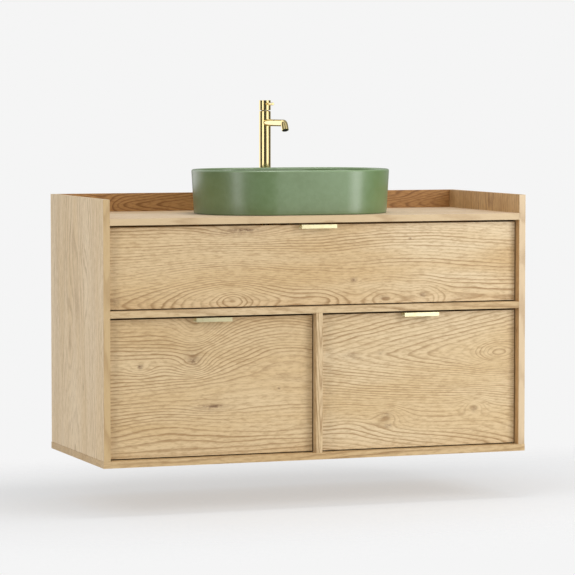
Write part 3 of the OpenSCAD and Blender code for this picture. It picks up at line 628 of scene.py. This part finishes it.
# How far the section reaches inwards along the bowl's floor and under its foot, and its three roundings.
flat_inside, flat_under = 0.052, 0.040
bowl_round, rim_round, foot_round = 0.032, 0.0057, 0.003
section = [
    (reach - lean - wall - flat_inside, foot + floor_up),
    (reach - lean - wall + lean_per_height * floor_up, foot + floor_up),
    (reach - wall, rim),
    (reach, rim),
    (reach - lean, foot),
    (reach - lean - flat_under, foot),
]
bowl = bmesh.new()
points = [bowl.verts.new((straight, bowl_centre.y - out, up)) for out, up in section]
for pair in zip(points, points[1:]):
    bowl.edges.new(pair)
for corners, size, steps in (
        (points[1:2], bowl_round, 12), (points[2:4], rim_round, 6), (points[4:5], foot_round, 3)):
    bmesh.ops.bevel(bowl, geom=corners, offset=size, offset_type="OFFSET", segments=steps, profile=0.5,
                    affect="VERTICES", material=-1, clamp_overlap=False)
section_points = len(bowl.verts)
walk = bowl.verts[:] + bowl.edges[:]
for end in (straight, -straight):
    made = bmesh.ops.spin(bowl, geom=walk, cent=(end, bowl_centre.y, 0), axis=(0, 0, 1), angle=pi, steps=48)
    last = [e for e in made["geom_last"] if isinstance(e, bmesh.types.BMEdge)]
    made = bmesh.ops.extrude_edge_only(bowl, edges=last)
    moved = [v for v in made["geom"] if isinstance(v, bmesh.types.BMVert)]
    bmesh.ops.translate(bowl, verts=moved, vec=(-2 * end, 0, 0))
    walk = moved + [e for e in made["geom"] if isinstance(e, bmesh.types.BMEdge)
                    and all(v in moved for v in e.verts)]
bmesh.ops.remove_doubles(bowl, verts=bowl.verts[:], dist=1e-5)
print("points in the section:", section_points, "sections:", len(bowl.verts) // section_points)


# %% The waste's seat, and the floor round it
bowl_floor = foot + floor_up
around = sum(e.is_boundary and all(abs(v.co.z - bowl_floor) < 1e-5 for v in e.verts) for e in bowl.edges)
flange_low, flange_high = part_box("waste_body")
seat_r = (flange_high.x - flange_low.x) / 2 + 0.0005
tube_r = 0.0219
seat_top, seat_floor = bowl_floor - 0.0006, bowl_floor - 0.0025
seat = [(seat_r, seat_top), (seat_r, seat_floor), (tube_r, seat_floor), (tube_r, foot)]
points = [bowl.verts.new((out, bowl_centre.y, up)) for out, up in seat]
bmesh.ops.spin(bowl, geom=points + [bowl.edges.new(pair) for pair in zip(points, points[1:])],
               cent=bowl_centre, axis=(0, 0, 1), angle=2 * pi, steps=around, use_merge=True)
bmesh.ops.remove_doubles(bowl, verts=bowl.verts[:], dist=1e-6)
inner_ring = [e for e in bowl.edges if e.is_boundary and min(v.co.z for v in e.verts) > foot + 0.005]
under_ring = [e for e in bowl.edges if e.is_boundary and max(v.co.z for v in e.verts) < foot + 0.001]
bmesh.ops.bridge_loops(bowl, edges=inner_ring)
bmesh.ops.bridge_loops(bowl, edges=under_ring)
bmesh.ops.recalc_face_normals(bowl, faces=bowl.faces[:])
print("open edges left:", sum(e.is_boundary for e in bowl.edges))
hand_over(bowl, "basin_glazed", "cabinet", glaze, ["basin"])

# %% [markdown]
# ## The tap
# Round parts are turned: half of the section is drawn as a chain of points and spun a full turn round the
# axis. The spout is a tube, so it starts as a ring that is extruded out of the column, spun round its
# bend, and extruded again along the nose. The column and cap keep the drawn holes for spout, spindle and
# pin, so those two are eased copies.


# %% Turned parts
def turned(section, at, steps=72, closed=False):
    """Spins a chain of (radius, height) points a full turn about the upright axis through at."""
    bm = bmesh.new()
    points = [bm.verts.new((out, 0, up)) for out, up in section]
    chain = list(zip(points, points[1:])) + ([(points[-1], points[0])] if closed else [])
    bmesh.ops.spin(bm, geom=points + [bm.edges.new(pair) for pair in chain], cent=(0, 0, 0), axis=(0, 0, 1),
                   angle=2 * pi, steps=steps, use_merge=True)
    bmesh.ops.remove_doubles(bm, verts=bm.verts[:], dist=1e-6)
    bmesh.ops.recalc_face_normals(bm, faces=bm.faces[:])
    bmesh.ops.translate(bm, verts=bm.verts[:], vec=at)
    return bm


column_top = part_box("tap_column")[1].z
ring_low, ring_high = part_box("tap_base_ring")
tap_y = (ring_low.y + ring_high.y) / 2
ring_r = (ring_high.x - ring_low.x) / 2
bore_r = 0.0135
base_ring = turned([(bore_r, ring_low.z), (ring_r, ring_low.z), (ring_r, ring_high.z), (bore_r, ring_high.z)],
                   (0, tap_y, 0), closed=True)
print("base ring edges:", ease(base_ring, 0.0009, 3, where=lambda p: p.z > ring_high.z - 1e-4))
hand_over(base_ring, "tap_base_ring_turned", "cabinet", tap_brass, ["tap_base_ring"])
spout_z = 0.894


def clear_of_spout(p):
    """Above the base ring, and not at the hole that the spout comes out of."""
    return p.z > ring_high.z and abs(p.z - spout_z) > 0.015


def on_cap_ends(p):
    """On the cap's outer edge, at its foot or its top, and not round the holes in its side."""
    from_axis = (p.x ** 2 + (p.y - tap_y) ** 2) ** 0.5
    return from_axis > 0.0155 and not column_top + 0.004 <= p.z <= column_top + 0.029


print("column edges:", eased_copy("tap_column", 0.0005, tap_brass, 3, where=clear_of_spout))
print("cap edges:", eased_copy("tap_cap", 0.0006, tap_brass, 3, where=on_cap_ends))

nut_steps = [(0.0090, 0.0), (0.0140, 0.0), (0.0140, 0.0009),
             (0.0115, 0.0015), (0.0100, 0.0022), (0.0090, 0.0022)]
cartridge_nut = turned([(out, column_top + up) for out, up in nut_steps], (0, tap_y, 0), closed=True)
print("cartridge nut edges:", ease(cartridge_nut, 0.0002, 2, over=60))
hand_over(cartridge_nut, "tap_cartridge_nut", "cabinet", tap_brass)

# %% The spout
tube_out, tube_in = 0.0095, 0.008
bend_r, bend_y = 0.012, 0.025
nose_lean, nose_len, lip_deep = radians(27), 0.022, 0.0095
root_y = tap_y - bore_r
bend = pi / 2 - nose_lean
run = bend_r * tan(bend / 2)
spout = bmesh.new()
ring = bmesh.ops.create_circle(spout, cap_ends=False, segments=48, radius=tube_out)["verts"]
bmesh.ops.rotate(spout, verts=ring, cent=(0, 0, 0), matrix=Matrix.Rotation(radians(90), 3, "X"))
bmesh.ops.translate(spout, verts=ring, vec=(0, root_y, spout_z))


def pull(bm, edges, step=None, scale=None, centre=None):
    """Extrudes an open ring, then moves or shrinks the new ring. Gives its edges."""
    new = bmesh.ops.extrude_edge_only(bm, edges=edges)["geom"]
    verts = [v for v in new if isinstance(v, bmesh.types.BMVert)]
    if step is not None:
        bmesh.ops.translate(bm, verts=verts, vec=step)
    if scale is not None:
        bmesh.ops.scale(bm, verts=verts, vec=(scale,) * 3, space=Matrix.Translation(-centre))
    fresh = set(verts)
    return [e for e in new if isinstance(e, bmesh.types.BMEdge) and all(v in fresh for v in e.verts)]


edge_ring = pull(spout, spout.edges[:], step=(0, bend_y + run - root_y, 0))
made = bmesh.ops.spin(spout, geom=edge_ring + list({v for e in edge_ring for v in e.verts}),
                      cent=(0, bend_y + run, spout_z - bend_r), axis=(1, 0, 0), angle=bend, steps=14)
edge_ring = [e for e in made["geom_last"] if isinstance(e, bmesh.types.BMEdge)]
nose = Vector((0, -sin(nose_lean), -cos(nose_lean)))
edge_ring = pull(spout, edge_ring, step=nose * (nose_len - run))
nose_tip = Vector((0, bend_y, spout_z)) + nose * nose_len
edge_ring = pull(spout, edge_ring, scale=tube_in / tube_out, centre=nose_tip)
edge_ring = pull(spout, edge_ring, step=nose * -lip_deep)
bmesh.ops.holes_fill(spout, edges=[e for e in spout.edges if e.is_boundary], sides=0)
bmesh.ops.remove_doubles(spout, verts=spout.verts[:], dist=1e-6)
bmesh.ops.recalc_face_normals(spout, faces=spout.faces[:])
count = ease(spout, 0.00035, 2, over=60, where=lambda p: (p - nose_tip).length < tube_out + 0.001)
print("lip edges:", count)
hand_over(spout, "tap_spout_drawn_tube", "cabinet", tap_brass, ["tap_spout"])

# %% The aerator and the lever
aerator_r = tube_in - 0.0001
collar_r = aerator_r - 0.0015
sieve, ridge_top, back = -0.0021, -0.0016, -0.008  # heights, from the spout's lip inwards
ridge_half = 0.0003
profile = [(0.0, sieve)]
for i in range(1, 7):
    out = aerator_r * 0.78 * i / 7
    profile += [(out - ridge_half, sieve), (out, ridge_top), (out + ridge_half, sieve)]
profile += [(collar_r, sieve), (collar_r, 0.0), (aerator_r, 0.0), (aerator_r, back), (0.0, back)]
aerator = turned(profile, (0, 0, 0), steps=48)
down_the_nose = Matrix.Rotation(pi - nose_lean, 3, "X")
bmesh.ops.rotate(aerator, verts=aerator.verts[:], cent=(0, 0, 0), matrix=down_the_nose)
bmesh.ops.translate(aerator, verts=aerator.verts[:], vec=nose_tip)
hand_over(aerator, "tap_aerator_ridged", "cabinet", rubber, ["tap_aerator"])

lever_low, lever_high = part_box("tap_lever")
lever_r = (lever_high.x - lever_low.x) / 2
lever_len = lever_high.y - lever_low.y
groove_r = lever_r - 0.0003
lever = turned([(0.0, 0.0), (lever_r, 0.0), (lever_r, lever_len - 0.013), (groove_r, lever_len - 0.0127),
                (groove_r, lever_len - 0.0122), (lever_r, lever_len - 0.0119), (lever_r, lever_len),
                (0.0, lever_len)], (0, 0, 0), steps=40)
print("lever edges:", ease(lever, 0.0009, 3, over=60, where=lambda p: p.z > lever_len - 0.0002))
bmesh.ops.rotate(lever, verts=lever.verts[:], cent=(0, 0, 0), matrix=Matrix.Rotation(radians(90), 3, "X"))
bmesh.ops.translate(lever, verts=lever.verts[:], vec=(0, lever_high.y, (lever_low.z + lever_high.z) / 2))
hand_over(lever, "tap_lever_turned", "tap_handle", tap_brass, ["tap_lever"])
print("lever:", round(lever_len * 1000, 1), "mm long")

# %% [markdown]
# ## The waste
# The plug is a shallow mushroom on a stem. Its top is very slightly domed, so that water runs off it and
# light slides over it, which a flat disc never shows. The flange that it closes keeps its drawn shape with
# an eased lip.

# %% Plug and flange
plug_low, plug_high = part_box("waste_plug")
plug_r = (plug_high.x - plug_low.x) / 2
stem_r, dome_rise = 0.004, 0.0009
cap_under = plug_high.z - 0.005
dome = [(plug_r * i / 8, plug_high.z - dome_rise * (i / 8) ** 2) for i in range(8)]
plug = turned([(0.0, plug_low.z), (stem_r, plug_low.z), (stem_r, cap_under), (plug_r, cap_under),
               (plug_r, plug_high.z - 0.001)] + dome[::-1], (0, bowl_centre.y, 0))
print("plug edges:", ease(plug, 0.0012, 4, over=50, where=lambda p: p.z > plug_high.z - 0.002))
hand_over(plug, "waste_plug_domed", "waste_stopper", tap_brass, ["waste_plug"])
count = eased_copy("waste_body", 0.0005, tap_brass, 3, where=lambda p: p.z > bowl_floor - 1e-4)
print("flange edges:", count)

# %% [markdown]
# ## The trap's nuts
# The trap hides behind the upper drawer's front, but its nuts are turned by hand, so they have grip grooves.
# Each nut starts as a copy of the drawn sleeve; then every other pair of strips round its side is inset and
# pushed in.


# %% Grooved hand nuts
def hand_nut(node):
    """A copy of the drawn nut, grooved along its side, with how many strips were pushed in."""
    bm = merged_copy(node)
    low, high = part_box(node)
    along = 1 if node == "trap_outlet_nut" else 2
    first, second = (i for i in range(3) if i != along)
    centre = (low + high) / 2
    outer = max((high[i] - low[i]) / 2 for i in (first, second))

    def from_axis(face):
        middle = face.calc_center_median()
        return middle[first] - centre[first], middle[second] - centre[second]

    sides = [f for f in bm.faces if len(f.verts) == 4 and abs(f.normal[along]) < 0.1
             and hypot(*from_axis(f)) > outer * 0.985]
    sides.sort(key=lambda f: atan2(*from_axis(f)[::-1]))
    grooves = [f for i, f in enumerate(sides) if i % 4 < 2]
    for face in grooves:
        bmesh.ops.inset_individual(bm, faces=[face], thickness=0.0003, depth=-0.0009)
    return bm, len(grooves)


for node in ("trap_coupling_nut", "trap_inlet_nut", "trap_outlet_nut"):
    nut, count = hand_nut(node)
    hand_over(nut, node + "_grooved", "cabinet", plastic, [node])
    print(node, "grooves:", count)

# %% [markdown]
# ## The parts that keep their drawn shape
# Runners, screws, pipes, nuts and washers are right as drawn, and need only their finish.

# %% Finishes for the drawn parts
slot_finish = {"steel": zinc, "brass": tap_brass, "rubber": rubber, "white_plastic": plastic}
for name, node in frame["nodes"].items():
    if not node.hide_render:
        drawn = node.material_slots[0].material.name.split(".")[0]
        node.material_slots[0].material = slot_finish[drawn]
        print(name, "->", slot_finish[drawn].name)

# %% [markdown]
# ## Floor, room and light
# The cabinet hangs on a wall that is left out, over a pale floor that melts into a pale room. The floor
# takes a soft shadow near the cabinet and fades away further out, so no horizon shows. Two tall softboxes
# stand left and right of the front, where they draw the upright streaks on the glaze. Two weaker ones widen
# the right one, and one hangs overhead. The polished brass is left out of their light and has two wider,
# dimmer cards of its own, which draw its bands. It would look flat in an all-white room, so its reflections
# see a dark room with a pale floor, and a bright card behind the cabinet for the spout.

# %% Floor
floor_z = -0.13
fade_from, fade_to = 0.42, 1.15
floor_mesh = bpy.data.meshes.new("studio_floor")
disc = bmesh.new()
bmesh.ops.create_circle(disc, cap_ends=True, segments=64, radius=5.0)
bmesh.ops.translate(disc, verts=disc.verts[:], vec=(0, 0, floor_z))
disc.to_mesh(floor_mesh)
disc.free()
floor = bpy.data.objects.new("studio_floor", floor_mesh)
bpy.context.scene.collection.objects.link(floor)
paper, (x, y, z) = new_finish("pale_paper_floor")
tree = paper.node_tree
fibre = cloud(x * 40.0, y * 40.0, z, detail=3.0)
sheet = tree.nodes.new("ShaderNodeBsdfDiffuse")
tree.links.new(fibre.mixed(shade(224, 224, 224), shade(221, 221, 221)).socket, sheet.inputs["Color"])
clear = tree.nodes.new("ShaderNodeBsdfTransparent")
away = (x * x * 0.3 + y * y) ** 0.5
glow = tree.nodes.new("ShaderNodeEmission")
glow.inputs["Color"].default_value = shade(245, 245, 245)
half_lit = away.make("ShaderNodeMixShader", {}, {
    0: 0.5, 1: Wire(tree, sheet.outputs[0]), 2: Wire(tree, glow.outputs[0])})
fade = away.make("ShaderNodeMixShader", {}, {
    0: away.between(fade_from, fade_to), 1: half_lit, 2: Wire(tree, clear.outputs[0])})
tree.links.new(fade.socket, tree.nodes.new("ShaderNodeOutputMaterial").inputs["Surface"])
floor_mesh.materials.append(paper)
print("floor at", floor_z, "m, fading from", fade_from, "to", fade_to, "m, and nearly twice as far sideways")

# %% Room
room = bpy.data.worlds.new("pale_room")
bpy.context.scene.world = room
room.use_nodes = True
room.node_tree.nodes.clear()
look = Wire(room.node_tree, room.node_tree.nodes.new("ShaderNodeTexCoord").outputs["Generated"])
look_x, look_y, look_z = (look.make("ShaderNodeSeparateXYZ", {}, {0: look}, out=i) for i in range(3))
ray = room.node_tree.nodes.new("ShaderNodeLightPath")
seen = Wire(room.node_tree, ray.outputs["Is Camera Ray"])
mirrored = Wire(room.node_tree, ray.outputs["Is Glossy Ray"])


def toward(azimuth):
    """How nearly a level direction points to an azimuth, in degrees right of the front: 1 straight at it."""
    flat = (look_x * look_x + look_y * look_y + 1e-6) ** 0.5
    return (look_x * sin(radians(azimuth)) - look_y * cos(radians(azimuth))) / flat


spout_card = toward(-152).between(0.90, 0.95, 0.0, 1.75)
behind = spout_card.larger(toward(150).between(0.55, 0.85, 0.0, 0.4))
below = look_z.between(-0.42, -0.12, 0.75, 0.0)
cards = toward(-56).between(0.93, 0.97).larger(toward(36).between(0.88, 0.95))
above = look_z.between(0.25, 0.45) * (cards * 0.7 + 0.22)
bright = behind.larger(below.larger(above))
reflected = bright * 0.82 + 0.10
wall_light = mirrored.mixed(shade(207, 209, 212), reflected)
wall_light = seen.mixed(wall_light, shade(245, 245, 245))
background = wall_light.make("ShaderNodeBackground", {}, {"Color": wall_light, "Strength": 1.0})
world_end = room.node_tree.nodes.new("ShaderNodeOutputWorld")
room.node_tree.links.new(background.socket, world_end.inputs["Surface"])
print("room:", room.name)


# %% Softboxes
def group_for(name, pieces, state):
    """The pieces that a light is for, with state INCLUDE, or that it leaves out, with state EXCLUDE."""
    group = bpy.data.collections.new(name)
    for piece in pieces:
        group.objects.link(piece)
    for member in group.collection_objects:
        member.light_linking.link_state = state
    return group


def softbox(name, azimuth, distance, height, wide, tall, watts, group, aim=(0, 0, 0.55)):
    """A rectangular light. azimuth is in degrees to the right of the cabinet's front."""
    light = bpy.data.lights.new(name, "AREA")
    light.shape = "RECTANGLE"
    light.size, light.size_y, light.energy = wide, tall, watts
    stand = bpy.data.objects.new(name, light)
    angle = radians(azimuth)
    stand.location = (sin(angle) * distance, -cos(angle) * distance, height)
    stand.rotation_euler = (Vector(aim) - stand.location).to_track_quat("-Z", "Y").to_euler()
    stand.light_linking.receiver_collection = group
    stand.visible_camera = False
    bpy.context.scene.collection.objects.link(stand)
    return light


polished = [piece for piece in finished + list(frame["nodes"].values())
            if not piece.hide_render and piece.material_slots[0].material == tap_brass]
polished_only = group_for("polished_pieces", polished, "INCLUDE")
all_else = group_for("all_but_polished_pieces", polished, "EXCLUDE")
boxes_of_light = [
    softbox("left_softbox", -55, 2.8, 1.05, 0.75, 2.2, 21.0, all_else),
    softbox("right_softbox", 40, 2.8, 1.05, 0.90, 2.2, 37.0, all_else),
    softbox("right_softbox_flank", 26, 2.8, 1.05, 0.40, 2.2, 5.5, all_else),
    softbox("right_softbox_outer_flank", 20, 2.8, 1.05, 0.60, 2.2, 2.5, all_else),
    softbox("top_softbox", 20, 0.5, 3.0, 1.2, 0.8, 24.0, all_else, aim=(0, 0, 0)),
    softbox("left_card", -66, 2.8, 0.9, 1.45, 2.4, 18.5, polished_only),
    softbox("right_card", 36, 2.8, 0.9, 2.35, 2.4, 29.0, polished_only),
]
print("softboxes:", [(light.name, light.energy) for light in boxes_of_light])

# %% [markdown]
# ## Count the finished pieces
# The script ends by printing how many finished pieces there are and how many faces they have.

# %% Count and end
print("pieces:", len(finished), "faces:", sum(len(p.data.polygons) for p in finished))
